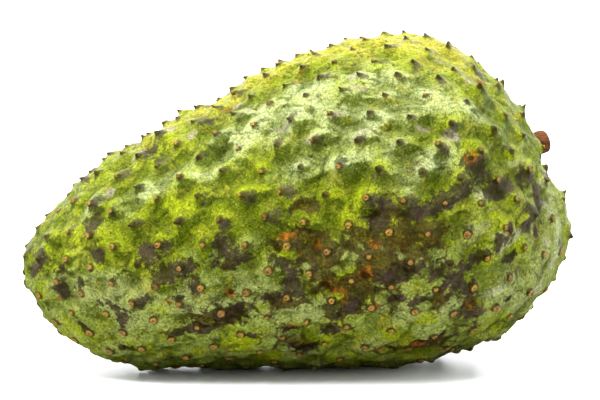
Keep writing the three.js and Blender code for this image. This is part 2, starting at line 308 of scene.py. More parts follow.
def meanRadius(latitude):
    ends = smoothRadius(body["upper"], latitude) + smoothRadius(body["lower"], latitude)
    return (ends + 2 * smoothRadius(body["flank"], latitude)) / 4


# Latitude is measured from the blossom end, and the turn from the front over the crown.
def directionAt(latitude, turn):
    out = np.cos(turn)[..., None] * front + np.sin(turn)[..., None] * crown
    return np.sin(latitude)[..., None] * out - np.cos(latitude)[..., None] * axis


def latitudeAndTurn(direction):
    latitude = np.arccos(np.clip(-direction @ axis, -1, 1))
    return latitude, np.arctan2(direction @ crown, direction @ front)


def bodyRadius(direction):
    latitude, turn = latitudeAndTurn(direction)
    upright = np.sin(turn) ** 2
    upper = smoothRadius(body["upper"], latitude)
    lower = smoothRadius(body["lower"], latitude)
    radius = (1 - upright) * smoothRadius(body["flank"], latitude)
    radius += upright * np.where(turn > 0, upper, lower)
    for height, waves, start in body["swells"]:
        radius += height * np.sin(direction @ np.array(waves) + start)
    fromStalk = radius * np.sin(latitude)
    dent = body["dimpleDepth"] * np.exp(-((fromStalk / body["dimpleRadius"]) ** 2))
    return radius - np.where(latitude > math.pi / 2, dent, 0)


def skinPoint(direction):
    return heart + direction * bodyRadius(direction)[..., None]


def skinNormal(direction):
    step = 0.01
    steep = np.abs(direction[..., 2:3]) < 0.9
    guide = np.where(steep, [0.0, 0.0, 1.0], [1.0, 0.0, 0.0])
    sideA = unit(np.cross(guide, direction))
    sideB = np.cross(direction, sideA)
    acrossA = skinPoint(unit(direction + step * sideA)) - skinPoint(unit(direction - step * sideA))
    acrossB = skinPoint(unit(direction + step * sideB)) - skinPoint(unit(direction - step * sideB))
    return unit(np.cross(acrossA, acrossB))


def randomDraws(seed):
    state = seed
    while True:
        state = (state * 1664525 + 1013904223) & 0xFFFFFFFF
        yield state / 4294967296


# Latitudes that give each of many points its share of skin.
def spreadLatitudes(count, crowding, bareRadius):
    slices = 720
    latitude = np.linspace(0, math.pi, slices + 1)
    radius = meanRadius(latitude)
    fromAxis = radius * np.sin(latitude)
    bare = (latitude > math.pi / 2) & (fromAxis < bareRadius)
    last = int(np.argmax(bare)) if bare.any() else slices + 1
    profile = np.stack([-radius * np.cos(latitude), fromAxis], 1)
    along = (profile[:, 0] + radius[0]) / (radius[0] + radius[-1])
    steps = np.linalg.norm(np.diff(profile, axis=0), axis=1)
    share = 2 * math.pi * fromAxis[1:] * steps * np.exp(-crowding * along[1:])
    total = np.concatenate([[0], np.cumsum(share)])[:last]
    wanted = (np.arange(count) + 0.5) / count * total[-1]
    return np.interp(wanted, total, latitude[:last])


def placeSpines():
    draws = randomDraws(spine["seed"])
    latitudes = spreadLatitudes(spine["count"], spine["crowding"], spine["bareRadius"])
    turns = math.radians(spine["start"]) + np.arange(spine["count"]) * goldenAngle
    chance = np.array([[next(draws) for _ in range(5)] for _ in latitudes])
    exact = directionAt(latitudes, turns)
    exactUp = skinNormal(exact)
    along = perpendicular(axis, exactUp)
    across = np.cross(exactUp, along)
    wander = (chance[:, :2] - 0.5) * 2 * spine["scatter"]
    aim = skinPoint(exact) + wander[:, :1] * along + wander[:, 1:] * across
    direction = unit(aim - heart)
    foot = skinPoint(direction)
    up = skinNormal(direction)
    flat = perpendicular(axis, up)
    leanWay = (chance[:, 3:4] - 0.5) * math.radians(spine["leanSpread"])
    tail = flat * np.cos(leanWay) + np.cross(up, flat) * np.sin(leanWay)
    # Tips hook to the blossom end, but on the underside near the stalk they hook back.
    underside = np.clip(-1.5 * up[:, 2], 0, 1)
    nearStalk = smoothstep(foot[:, 0], -10, 50)
    leanShare = (0.55 + 0.7 * chance[:, 4]) * (1 - 1.7 * underside * nearStalk)
    leastSize, moreSize = spine["sizes"]
    size = leastSize + moreSize * chance[:, 2]
    # Under the belly a spine is pressed down until its tip just reaches the ground.
    room = np.where(up[:, 2] < 0, foot[:, 2] / np.maximum(-up[:, 2], 1e-6), 1e6)
    pressed = np.clip(room / (spine["height"] * size), 0, 1)
    return {
        "foot": foot,
        "up": up,
        "along": flat,
        "across": np.cross(up, flat),
        "tail": tail,
        "hook": -tail * leanShare[:, None],
        "size": size,
        "pressed": pressed,
    }


placed = placeSpines()
looks = np.random.default_rng(spine["looksSeed"])  # chances that only change how each spine looks
placed["tan"] = looks.random(spine["count"])
placed["blunt"] = looks.random(spine["count"])
placed["bruiseShadow"] = looks.random(spine["count"])
placed["haloWay"] = looks.normal(0, 0.8, spine["count"])
placed["tint"] = looks.random(spine["count"])
print("spines placed:", spine["count"])


def softNoise(points, size, shift=0.0):
    places = points / size + shift
    return np.array([noise.noise(Vector(place)) for place in places])


# The mounds are plump on the shoulders and flatter on the crown, the belly and both ends.
def plumpness(points):
    facing, spread = mound["plumpFacing"]
    plump = np.exp(-(((skinNormal(unit(points - heart))[:, 2] - facing) / spread) ** 2))
    plump *= smoothstep(points[:, 0], *mound["plumpFrom"]) * (1 - smoothstep(points[:, 0], *mound["plumpTo"]))
    return mound["flattest"] + (1 - mound["flattest"]) * plump


# Three noises at once, to move points about.
def driftNoise(points, size, shifts):
    return np.stack([softNoise(points, size, shift) for shift in shifts], 1)


# What all the spines do to the skin at each point.
# Gives the lift, the distance to the nearest two, which is nearest, and the dark halo beside it, partly
# bruise and partly painted shadow.
def spineEffects(points):
    lift, bruiseShadow = np.empty(len(points)), np.empty(len(points))
    nearest = np.empty((len(points), 2))
    closest = np.empty(len(points), int)
    # The patch lies to the stalk side of each spine, turned by chance: partly bruise, partly the spine's
    # painted shadow.
    haloTurn = placed["haloWay"][:, None]
    aside = np.cross(placed["up"], placed["tail"])
    haloWay = placed["tail"] * np.cos(haloTurn) + aside * np.sin(haloTurn)
    leastReach, moreReach = spine["haloReach"]
    haloReach = leastReach + moreReach * placed["bruiseShadow"] ** 2
    haloDepth = 0.5 + 0.5 * smoothstep(placed["tint"], 0.3, 0.6)
    haloMiddle = placed["foot"] + haloWay * (0.75 * haloReach)[:, None]
    plump = plumpness(points)
    for start in range(0, len(points), batchSize):
        part = slice(start, start + batchSize)
        away = points[part, None, :] - placed["foot"][None]
        distance = np.linalg.norm(away, axis=2)
        along = np.einsum("psk,sk->ps", away, placed["tail"])
        across = np.sqrt(np.maximum(distance ** 2 - along ** 2, 0))
        reach = np.where(along > 0, mound["gentleSide"], mound["steepSide"])
        fall = (along / reach) ** 2 + (across / mound["halfWidth"]) ** 2
        rise = mound["rise"] * placed["size"] * placed["pressed"] * np.exp(-fall)
        lift[part] = plump[part] * (rise.sum(1) - mound["valley"])
        nearest[part] = np.partition(distance, 1, axis=1)[:, :2]
        closest[part] = distance.argmin(1)
        fromHalo = np.linalg.norm(points[part, None, :] - haloMiddle[None], axis=2)
        bruiseShadow[part] = (haloDepth * np.exp(-((fromHalo / haloReach) ** 2))).max(1)
    return lift, nearest, closest, bruiseShadow


# The folds and creases of the skin between the spines, in mm above the mounds.
# Gives them, and where the creases and the crests of the pleats are; the crests get a painted sheen.
def skinFolds(points, direction, nearest):
    latitude, turn = latitudeAndTurn(direction)
    stretched = points - skin["wrinkleStretch"] * (points @ axis)[:, None] * axis
    sharpness = 2.4  # crests where the noise passes through nought
    wrinkles = 1 - sharpness * np.abs(softNoise(stretched, skin["wrinkleSize"], 3.1))
    finer = 1 - sharpness * np.abs(softNoise(stretched, 0.42 * skin["wrinkleSize"], 8.4))
    folds = skin["wrinkleHeight"] * (wrinkles + 0.5 * finer - 0.9)

    broken = smoothstep(softNoise(points, skin["breakSize"], 5.5), -0.25, 0.25)
    edge = np.exp(-(nearest[:, 1] - nearest[:, 0]) / skin["creaseWidth"])
    folds -= skin["creaseDepth"] * edge * (0.4 + 0.6 * broken)

    # The pleats run from pole to pole, so their noise changes fast round the fruit and slowly along it.
    girth = skin["pleats"] * np.stack([np.cos(turn), np.sin(turn), 0.18 * latitude], 1)
    pleat = softNoise(girth + 0.02 * points, 1, 1.7)
    low = smoothstep(-np.sin(turn), -0.5, 0.3)
    low = low * smoothstep(softNoise(points, skin["pleatPatch"], 9.9), -0.3, 0.3)
    start, full = (math.radians(latitudeAt) for latitudeAt in skin["pleatLatitudes"])
    pleats = low * smoothstep(latitude, start, full)
    folds += skin["pleatHeight"] * pleats * pleat
    return folds, edge * broken, pleats * smoothstep(pleat, 0, 0.4)


# A listed fold, in mm above the skin.
def foldRise(points, fold):
    x, y, longHalf, wideHalf, tilt, height = fold
    return height * np.exp(-fallFrom(points, skinUnder(x, y), longHalf, wideHalf, tilt))


# Soft rises and hollows as wide as a few spines, with the slack folds.
def skinSwells(points):
    broad = softNoise(points, skin["swellSize"], 12.3)
    swells = broad + 0.6 * softNoise(points, 0.5 * skin["swellSize"], 4.9)
    swells *= skin["swellHeight"]
    for fold in slackFolds:
        swells += foldRise(points, fold)
    return swells


def fromAxisAt(points):
    away = points - heart
    return np.linalg.norm(away - (away @ axis)[:, None] * axis, axis=1)


# Points of the skin between the spines, in one fine golden-angle spiral.
def openSkin():
    latitudes = spreadLatitudes(skin["points"], 0, 0)
    direction = directionAt(latitudes, np.arange(skin["points"]) * goldenAngle)
    place = skinPoint(direction)
    clearRadius = socket["rings"][0] + socket["clearOfRings"]
    keep = (latitudes < math.pi / 2) | (fromAxisAt(place) > clearRadius)
    for start in range(0, len(place), batchSize):
        part = slice(start, start + batchSize)
        away = place[part, None, :] - placed["foot"][None]
        keep[part] &= (away ** 2).sum(2).min(1) > skin["clearOfSpine"] ** 2
    return direction[keep]


# The rings of every spine, with how far each point stands from the skin.
def spineRings():
    columns = {"direction": [], "shift": [], "column": []}
    rise = spine["height"] * placed["size"] * placed["pressed"]
    facing = placed["up"][:, 2]
    # Worn short on the belly and at the blossom end, and a little on the crown.
    worn = 0.5 + 0.5 * smoothstep(facing, -0.5, 0.3) - 0.3 * smoothstep(facing, 0.3, 0.9)
    worn *= smoothstep(placed["foot"][:, 0], -165, -50) + 0.35 * (placed["tint"] - 0.5)
    # Low on the fruit they are broken off wider.
    blunt = 1.35 - 0.6 * smoothstep(facing, -0.3, 0.7) + 0.8 * (placed["blunt"] - 0.5)
    blunt = np.clip(blunt, 0.6, 1.7)
    for ring, (radius, count, heightShare, leanShare) in enumerate(spine["rings"]):
        for step in range(count):
            angle = 2 * math.pi * (step + 0.5 * (ring % 2)) / count
            out = placed["along"] * math.cos(angle) + placed["across"] * math.sin(angle)
            direction = unit(placed["foot"] + radius * out - heart)
            thinner = radius * (blunt - 1) * (1 - smoothstep(np.array(radius), 0.9, 2.2))
            wobble = 1 + 0.2 * np.sin(3 * angle + 9 * placed["tan"]) * (radius > 0)
            shift = placed["up"] * (rise * worn * heightShare * wobble ** 0.3)[:, None]
            shift += placed["hook"] * (spine["lean"] * worn * leanShare * placed["pressed"])[:, None]
            shift += out * (thinner * wobble)[:, None]
            columns["direction"].append(direction)
            columns["shift"].append(shift)
            columns["column"].append(np.full(spine["count"], radius))
    return {name: np.concatenate(parts) for name, parts in columns.items()}


# Rings round the stalk, from the skin over the lip and down the socket's wall.
def socketRings():
    stalkPoint = skinPoint(axis[None])[0]
    level = (stalkPoint - heart) @ axis
    turn = 2 * math.pi * np.arange(socket["sides"]) / socket["sides"]
    out = np.cos(turn)[:, None] * front + np.sin(turn)[:, None] * crown
    rimHeight, rimRadius, rimWidth = socket["rim"]
    rings = []
    for radius in socket["rings"]:
        direction = unit(stalkPoint + radius * out - heart)
        place = skinPoint(direction)
        raised = rimHeight * math.exp(-(((radius - rimRadius) / rimWidth) ** 2))
        raised = raised + foldRise(place, socket["lip"])
        rings.append((direction, place + raised[:, None] * skinNormal(direction)))
    for radius, depth in socket["wall"]:
        wall = heart + (level - depth) * axis + radius * out
        rings.append((unit(wall - heart), wall))
    floor = heart + (level - socket["depth"]) * axis
    return rings, floor


# Joins directions into a skin of triangles by flattening them from the stalk's pole.
def joinDirections(direction):
    latitude, turn = latitudeAndTurn(direction)
    flat = np.tan(latitude / 2)[:, None] * np.stack([np.cos(turn), np.sin(turn)], 1)
    corners = [Vector(place) for place in flat]
    result = delaunay_2d_cdt(corners, [], [], 0, 1e-9, True)
    points, triangles, origins = result[0], result[2], result[3]
    assert len(points) == len(corners), "two points fell together"
    order = [origin[0] for origin in origins]
    return [[order[corner] for corner in triangle] for triangle in triangles]


def addMesh(name, places, faces):
    mesh = bpy.data.meshes.new(name)
    mesh.from_pydata([tuple(place) for place in places * millimetre], [], faces)
    mesh.update()
    piece = bpy.data.objects.new(name, mesh)
    bpy.context.scene.collection.objects.link(piece)
    mesh.shade_smooth()
    return piece


def storeMask(piece, name, values):
    mask = piece.data.attributes.new(name, "FLOAT", "POINT")
    mask.data.foreach_set("value", np.clip(values, 0, 1).astype(np.float32))


# The camera's place and the three ways of its picture.
def cameraFrame():
    lift = math.radians(camera["elevation"])
    look = np.array([0, math.cos(lift), -math.sin(lift)])
    right = np.array([1.0, 0, 0])
    return np.array(camera["target"]) - camera["distance"] * look, look, right, np.cross(right, look)


# Where the line of sight through a place in the picture first meets the skin.
def skinUnder(x, y):
    eye, look, right, up = cameraFrame()
    ray = camera["focal"] * look + (x - camera["width"] / 2) * right + (camera["height"] / 2 - y) * up
    far = np.linspace(*camera["sight"]) * camera["distance"]
    away = eye + far[:, None] * unit(ray) - heart
    depth = np.linalg.norm(away, axis=1) - bodyRadius(unit(away))
    inside = depth < 0
    first = int(np.argmax(inside)) if inside.any() else int(np.argmin(depth))
    return unit(away[first])


# How far points are from the middle of an oval patch of skin, squared and counted in its half sizes.
def fallFrom(points, direction, longHalf, wideHalf, tilt):
    middle = skinPoint(direction[None])[0]
    normal = skinNormal(direction[None])[0]
    right = perpendicular(np.array([1.0, 0, 0]), normal)
    upward = np.cross(normal, right)
    if upward[2] < 0:
        upward = -upward
    lean = math.radians(tilt)
    longWay = right * math.cos(lean) + upward * math.sin(lean)
    wideWay = upward * math.cos(lean) - right * math.sin(lean)
    away = points - middle
    fall = (away @ longWay / longHalf) ** 2 + (away @ wideWay / wideHalf) ** 2
    return fall + (away @ normal / markEdges["reach"]) ** 2


# Masks of the listed marks and, on the far side, of marks strewn by chance.
def markMasks(points):
    drift = driftNoise(points, markEdges["coarse"], (2.2, 14.7, 27.1))
    drift += 0.5 * driftNoise(points, markEdges["fine"], (5.2, 17.7, 31.1))
    chance = np.random.default_rng(farSeed)
    masks = {}
    for kind, places in marks.items():
        patches = [(skinUnder(x, y), *shape) for x, y, *shape in places]
        count, least, greatest = farMarks[kind]
        while len(patches) < len(places) + count:
            direction = unit(chance.normal(size=3))
            if direction[1] < 0.12:  # on the near side or at its edge
                continue
            longHalf = least + (greatest - least) * chance.random() ** 2
            wideHalf = longHalf * chance.uniform(0.3, 0.8)
            patches.append((direction, longHalf, wideHalf, chance.uniform(0, 50)))
        mask = np.zeros(len(points))
        for patch in patches:
            moved = points + min(markEdges["drift"], markEdges["smallShare"] * patch[1]) * drift
            mask = np.maximum(mask, np.exp(-markEdges["falloff"] * fallFrom(moved, *patch)))
        masks[kind] = mask
    return masks


# Closes the mesh from the last ring on the skin, down the socket's wall to its floor.
# Moves the points of those rings to their places, and adds their faces.
def closeSocket(places, faces, stalkRings, socketFloor, joined):
    sides = socket["sides"]
    ring = list(range(joined - sides, joined))
    edgeGap = places[ring] - stalkRings[0][1]
    fading = len(socket["rings"]) - 1  # the step at the rim is smoothed away over the rings on the skin
    for step, (_, place) in enumerate(stalkRings[1:], 1):
        following = [corner + sides for corner in ring]
        places[following] = place + max(0.0, 1 - step / fading) * edgeGap
        for side in range(sides):
            after = (side + 1) % sides
            faces.append([ring[after], ring[side], following[side], following[after]])
        ring = following
    places[-1] = socketFloor
    for side in range(sides):
        faces.append([ring[(side + 1) % sides], ring[side], len(places) - 1])


# Where each layer of the material shows, from 0 to 1 at every point of the skin.
def skinMasks(base, normal, fineNormal, column, relief, nearest, closest, bruiseShadow):
    masks = markMasks(base)
    x, y, upward = base[:, 0], base[:, 1], normal[:, 2]
    low = smoothstep(-upward, -0.25, 0.3)
    masks["low"] = low
    patchy = smoothstep(softNoise(base, 16, 33.3), -0.35, 0.3)
    netted = low * patchy * (0.3 + 0.7 * smoothstep(x, -75, -25))
    masks["net"] = 0.13 * netted + 0.42 * masks["scorch"]
    # Painted shade: the green deepens where the relief lies low.
    masks["hollowShade"] = smoothstep(-relief, -0.5, 1.6)
    # Painted shade on the slopes of the fine relief that face down and towards the stalk, away from the top
    # light.
    slope = (fineNormal - normal) @ np.array(skin["shadeWay"])
    masks["shadedSlope"] = smoothstep(slope, 0.08, 0.5) * smoothstep(column, 1, 2)

    # Some spines low on the fruit stand in a paler cell of skin.
    between = smoothstep(nearest[:, 1] - nearest[:, 0], 0, 2.5)
    masks["paleAreole"] = smoothstep(0.5 + (placed["tint"][closest] - 0.5) * between, 0.5, 1) * low

    # Yellower where the skin faces up on the crown, and along the crest on the near side.
    crownFacing = upward + 0.14 * smoothstep(x, 20, 70) + 0.03 * softNoise(base, 9, 6.2)
    yellowCrown = smoothstep(crownFacing, 0.84, 1.0) * smoothstep(x, -60, -10)
    crest = smoothstep(unit(normal - (normal @ axis)[:, None] * axis) @ crown, 0.93, 1)
    crest *= smoothstep(x, -100, -60) * (1 - smoothstep(x, 0, 30))
    masks["yellowCrown"] = np.maximum(yellowCrown, 0.65 * crest) * (1 - smoothstep(y, 5, 45))

    # The spines, by the distance from their middles: a dark patch beside each, partly bruise and partly
    # painted shadow, then dark bodies, tan or pink tips, and a pit in some.
    masks["bruiseShadow"] = bruiseShadow * (1 - 0.4 * low) * (1 - 0.4 * masks["yellowCrown"])
    masks["spineBody"] = 1 - smoothstep(column, 0.8, 2.5)
    masks["spineTip"] = 1 - smoothstep(column, 0.65, 1.0)
    masks["tipPit"] = (1 - smoothstep(column, 0.1, 0.45)) * smoothstep(placed["blunt"][closest], 0.1, 0.5)
    tanShare = np.clip(0.8 - 0.45 * upward, 0.3, 0.97)
    masks["tannedTip"] = np.clip(2.2 * tanShare - 1.6 * placed["tan"][closest], 0, 1)
    masks["pinkTip"] = masks["spineTip"] * masks["tannedTip"]
    masks["pinkTip"] *= smoothstep(placed["tint"][closest], 0.4, 0.8)
    return masks


def makeFruit():
    rings = spineRings()
    bare = openSkin()
    stalkRings, socketFloor = socketRings()
    direction = np.concatenate([bare, rings["direction"], stalkRings[0][0]])
    triangles = joinDirections(direction)
    joined = len(direction)
    # The rings inside the rim come after, each joined to the one before, and then the socket's floor.
    direction = np.concatenate([direction, *[ring[0] for ring in stalkRings[1:]], axis[None]])
    base = skinPoint(direction)
    normal = skinNormal(direction)
    lift, _, closest, bruiseShadow = spineEffects(base)
    strayLength, straySize = skin["creaseStray"]
    strayed = base + strayLength * driftNoise(base, straySize, (1.3, 9.6, 21.4))
    _, nearest, _, _ = spineEffects(strayed)  # so that creases wander
    folds, crease, pleatSheen = skinFolds(base, direction, nearest)
    print("skin points:", len(direction), "faces:", len(triangles))

    column = np.full(len(direction), 9.0)  # mm from the spine's middle, and this much off the spines
    shift = np.zeros((len(direction), 3))
    onSpine = slice(len(bare), len(bare) + len(rings["direction"]))
    column[onSpine] = rings["column"]
    shift[onSpine] = rings["shift"]
    folds *= smoothstep(column, 1.0, 3.2)  # the spines themselves stay smooth
    relief = lift + folds + skinSwells(base)
    settle = smoothstep(fromAxisAt(base), *socket["smoothTo"]) + (direction @ axis < 0)
    rise = relief * np.clip(settle, 0, 1) + foldRise(base, socket["lip"])
    places = base + normal * rise[:, None] + shift

    faces = [list(triangle) for triangle in triangles]
    closeSocket(places, faces, stalkRings, socketFloor, joined)
    places[:, 2] = np.maximum(places[:, 2], 0)  # flat where it meets the ground
    piece = addMesh("fruit_skin", places, faces)

    fineNormal = np.empty(3 * len(places))
    piece.data.vertex_normals.foreach_get("vector", fineNormal)
    fineNormal = fineNormal.reshape(-1, 3)
    masks = skinMasks(base, normal, fineNormal, column, relief, nearest, closest, bruiseShadow)
    masks["crease"] = crease
    masks["pleatSheen"] = pleatSheen
    for name, mask in masks.items():
        storeMask(piece, name, mask)
    return piece


def makeStub():
    seat = socket["radius"] - stub["clearance"]
    length = socket["depth"] - stub["clearance"] + stub["reach"]
    outline = [
        (0, seat - stub["chamfer"]),
        (stub["chamfer"], seat),
        (socket["depth"] + 0.4, seat),
        *[(share * length, radius) for share, radius in stub["outline"]],
        (length, 0),
    ]
    heights, radii = np.array(outline).T
    travel = np.concatenate([[0], np.cumsum(np.hypot(np.diff(heights), np.diff(radii)))])
    stops = np.linspace(0, travel[-1], stub["rings"])[:-1]
    sides = stub["sides"]
    turn = 2 * math.pi * np.arange(sides) / sides
    gnarl, times, twist = stub["gnarl"]
    across, along = stub["grainRound"], stub["grainAlong"]
    places = []
    for stop in stops:
        height = np.interp(stop, travel, heights)
        radius = np.interp(stop, travel, radii)
        # Plain in the socket, gnarled and fibrous outside it.
        free = float(smoothstep(np.array(height), socket["depth"], socket["depth"] + 3))
        gnarled = 1 + free * gnarl * np.sin(times * turn + height / twist)
        grain = np.array([
            noise.noise(Vector((across * math.cos(t), across * math.sin(t), along * height))) for t in turn
        ])
        radius = radius * gnarled + free * stub["grainDepth"] * grain
        spot = np.stack([radius * np.cos(turn), radius * np.sin(turn), np.full(sides, height)], 1)
        places.append(spot)
    faces = []
    for ring in range(len(places) - 1):
        low, high = ring * sides, (ring + 1) * sides
        for side in range(sides):
            after = (side + 1) % sides
            faces.append([low + side, low + after, high + after, high + side])
    top = (len(places) - 1) * sides
    places = np.concatenate(places + [np.array([[0, 0, 0], [0, 0, length - stub["endHollow"]]])])
    foot, end = len(places) - 2, len(places) - 1
    for side in range(sides):
        after = (side + 1) % sides
        faces.append([foot, after, side])
        faces.append([end, top + side, top + after])
    floor = skinPoint(axis[None])[0] + (stub["clearance"] - socket["depth"]) * axis
    turnUp = np.array(Vector((0, 0, 1)).rotation_difference(Vector(axis)).to_matrix())
    return addMesh("stalk_stub", places @ turnUp.T + floor, faces)


def toLinear(hexColour):
    channels = [int(hexColour[k:k + 2], 16) / 255 for k in (1, 3, 5)]
    return [c / 12.92 if c <= 0.04045 else ((c + 0.055) / 1.055) ** 2.4 for c in channels] + [1]


# Adds a node with its settings and links, and gives the output that is asked for.
def addNode(tree, kind, inputs=None, output=0, **settings):
    node = tree.nodes.new(kind)
    for name, value in settings.items():
        setattr(node, name, value)
    for name, value in (inputs or {}).items():
        if isinstance(value, bpy.types.NodeSocket):
            tree.links.new(value, node.inputs[name])
        else:
            node.inputs[name].default_value = value
    return node.outputs[output] if len(node.outputs) else node


def blankMaterial(name):
    material = bpy.data.materials.new(name)
    material.use_nodes = True
    material.node_tree.nodes.clear()
    return material, material.node_tree


# Soursop skin: a leathery rind with a thin wax on it, so highlights are broad and pale.
# It is mottled green, yellower on the crown, with bruises whose edges are ragged.
skinFinish = {
    "deep": "#525d02",
    "lime": "#879207",
    "olive": "#636503",
    # Painted shade, for the low places of the relief and the slopes turned from the light.
    "hollowShade": "#3d4a01",
    "sage": "#6d7a3c",
    # Duller grey-green; on the dull patches it is partly painted reflection of the bright room.
    "dull": "#7f864e",
    # Painted sheen of the top light on the wax.
    "paintedSheen": "#a6af7e",
    # Painted sheen on the crests of the pleats.
    "pleatSheen": "#9d9a80",
    "yellowCrown": "#9a9428",
    "fleck": "#a3ad52",
    "speck": "#1d2400",
    "crease": "#2a3000",
    "bruiseDark": "#1c0c05",
    "bruisePurple": "#382627",
    # Beside the spines: partly bruise, partly painted shadow.
    "bruiseShadowDark": "#221a0c",
    "bruiseShadowPurple": "#3b2f2c",
    "scorchDark": "#1c0c03",
    "scorchLight": "#3f2b13",
    "rubDark": "#665a48",
    "rubLight": "#9a917c",
    "rustDark": "#3c1a02",
    "rustLight": "#8a500c",
    "spineDark": "#170b02",
    "spineLight": "#3c280c",
    "tipDark": "#2c220e",
    "tipTan": "#8f6a30",
    "tipPink": "#7e5936",
    "pit": "#4a2206",
    "hole": "#1e0800",
    "cloudsShown": (0.3, 0.68),  # of the slow pattern, from deep to lime
    "grainShade": (0.62, 1.38),  # how much the grain darkens and lightens
    "roughness": 0.42,
    "ior": 1.45,
    "specular": 0.32,
    "wax": "#d8ee70",  # tints the highlights a little
    "bumpHeight": 0.87,  # mm
    # Patterns: size in mm, detail, roughness, distortion.
    "patterns": {
        "clouds": (22, 5, 0.55, 0),
        "patches": (7, 5, 0.6, 0.5),
        "mottle": (3.2, 6, 0.65, 0),
        "tear": (2.6, 7, 0.72, 0.4),
        "fineTear": (1.1, 4, 0.65, 0),
        "grain": (0.9, 3, 0.75, 0.6),  # real pores are under 0.2 mm and would not show
        "veins": (5.5, 3, 0.5, 1.4),
        "pleats": (2.4, 4, 0.6, 1.0),
        "leather": (1.3, 5, 0.7, 0.3),
    },
    "lines": {"groove": ("veins", 0.022), "wrinkle": ("pleats", 0.06)},
    "cellSize": 7,  # mm, the green islands low on the fruit
    "cellStray": (2.6, 3),  # mm, the pattern that moves their edges, and how far
    "cellFraying": 0.25,
    # Layers over the green: mask, the pattern that tears it and how much, where it starts and is full,
    # its strength, and one colour or two with the pattern or mask between them.
    "layers": [
        ("none", "patches", 1, 0.5, 0.72, 0.6, "olive"),
        ("low", "cellChance", 0.9, 1.25, 1.5, 0.6, "sage"),
        ("paleAreole", "fineTear", 0.3, 0.3, 1.1, 0.5, "dull"),
        # Partly the skin's duller colour, partly painted reflection.
        ("dull", "patches", 1.2, 0.85, 1.4, 0.75, "dull"),
        # Painted sheen, pale where the top light gleams on the wax.
        ("paintedSheen", "patches", 0.9, 0.5, 1.5, 0.76, "paintedSheen"),
        # Painted sheen on the crests of the pleats.
        ("pleatSheen", "tear", 0.6, 0.5, 1.2, 0.6, "pleatSheen"),
        # Painted shade where the relief lies low.
        ("hollowShade", "patches", 0.9, 0.75, 1.7, 0.85, "hollowShade"),
        # Painted shade on the slopes turned from the light.
        ("shadedSlope", "mottle", 0.5, 0.35, 1.15, 0.9, "hollowShade"),
        ("yellowCrown", "patches", 2.8, 1.4, 2.35, 0.88, "yellowCrown"),
        ("none", "mottle", -1, -0.44, -0.28, 0.22, "speck"),
        ("none", "grain", -1, -0.42, -0.3, 0.4, "speck"),
        ("none", "wrinkle", -1, -0.7, -0.05, 0.34, "crease"),
        ("none", "grain", 1, 0.57, 0.68, 0.26, "fleck"),
        ("none", "groove", -1, -0.9, -0.2, 0.5, "crease"),
        ("crease", "fineTear", 1.6, 1.1, 1.6, 0.6, "crease"),
        ("net", "cellEdge", -1, -0.1, 0.02, 0.85, "scorchDark", "scorchLight", "mottle"),
        ("scorch", "tear", 2.4, 1.8, 2.25, 0.72, "rustDark", "scorchLight", "mottle"),
        ("scorch", "fineTear", 2.4, 1.95, 2.4, 0.5, "olive"),
        ("rub", "tear", 1.3, 0.85, 1.4, 0.7, "rubDark", "rubLight", "mottle"),
        ("bruise", "tear", 3.0, 1.72, 2.1, 0.9, "bruiseDark", "bruisePurple", "patches"),
        # Partly bruise, partly each spine's painted shadow.
        ("bruiseShadow", "tear", 2.4, 1.45, 1.95, 0.8, "bruiseShadowDark", "bruiseShadowPurple", "patches"),
        ("rust", "fineTear", 2.2, 1.5, 1.95, 0.85, "rustDark", "rustLight", "mottle"),
        ("hole", "fineTear", 0.6, 0.6, 1, 0.9, "hole"),
        ("spineBody", "fineTear", 0.9, 0.75, 1.2, 0.85, "spineDark", "spineLight", "mottle"),
        ("spineTip", "fineTear", 1.2, 0.8, 1.4, 1, "tipDark", "tipTan", "tannedTip"),
        ("pinkTip", "fineTear", 1.2, 0.9, 1.6, 0.8, "tipPink"),
        ("tipPit", "none", 1, 0.2, 0.9, 0.8, "pit"),
    ],
    # How much each pattern raises the bumps.
    "bumps": {"leather": 1.2, "mottle": 0.8, "grain": 0.5, "groove": 0.25},
}


# Every pattern and mask of the rind by its name.
def skinFields(tree):
    where = addNode(tree, "ShaderNodeTexCoord", output="Object")
    field = {"none": 0.0}
    for name, (size, detail, roughness, distortion) in skinFinish["patterns"].items():
        field[name] = addNode(tree, "ShaderNodeTexNoise", {
            "Vector": where, "Scale": 1 / (size * millimetre), "Detail": detail,
            "Roughness": roughness, "Distortion": distortion,
        })
    for name in ["tannedTip"] + [layer[0] for layer in skinFinish["layers"]]:
        if name not in field:
            field[name] = addNode(tree, "ShaderNodeAttribute", output="Fac", attribute_name=name)

    # Cells whose edges wander, for the islands of green.
    straySize, strayLength = skinFinish["cellStray"]
    stray = addNode(tree, "ShaderNodeTexNoise", {
        "Vector": where, "Scale": 1 / (straySize * millimetre), "Detail": 7, "Roughness": 0.68,
    }, output="Color")
    strayed = addNode(tree, "ShaderNodeVectorMath", {
        0: stray, 1: (strayLength * millimetre,) * 3, 2: where,
    }, operation="MULTIPLY_ADD")
    cells = {"Vector": strayed, "Scale": 1 / (skinFinish["cellSize"] * millimetre)}
    cellEdge = addNode(tree, "ShaderNodeTexVoronoi", cells, feature="DISTANCE_TO_EDGE")
    field["cellEdge"] = addNode(tree, "ShaderNodeMath", {
        0: field["fineTear"], 1: skinFinish["cellFraying"], 2: cellEdge,
    }, operation="MULTIPLY_ADD")
    cellColour = addNode(tree, "ShaderNodeTexVoronoi", cells, output="Color")
    field["cellChance"] = addNode(tree, "ShaderNodeSeparateColor", {"Color": cellColour})

    # Thin lines run where a slow pattern passes its middle.
    for name, (pattern, width) in skinFinish["lines"].items():
        middle = addNode(tree, "ShaderNodeMath", {0: field[pattern], 1: 0.5}, operation="SUBTRACT")
        fromMiddle = addNode(tree, "ShaderNodeMath", {0: middle}, operation="ABSOLUTE")
        field[name] = addNode(tree, "ShaderNodeMapRange", {0: fromMiddle, 1: 0, 2: width})
    return field


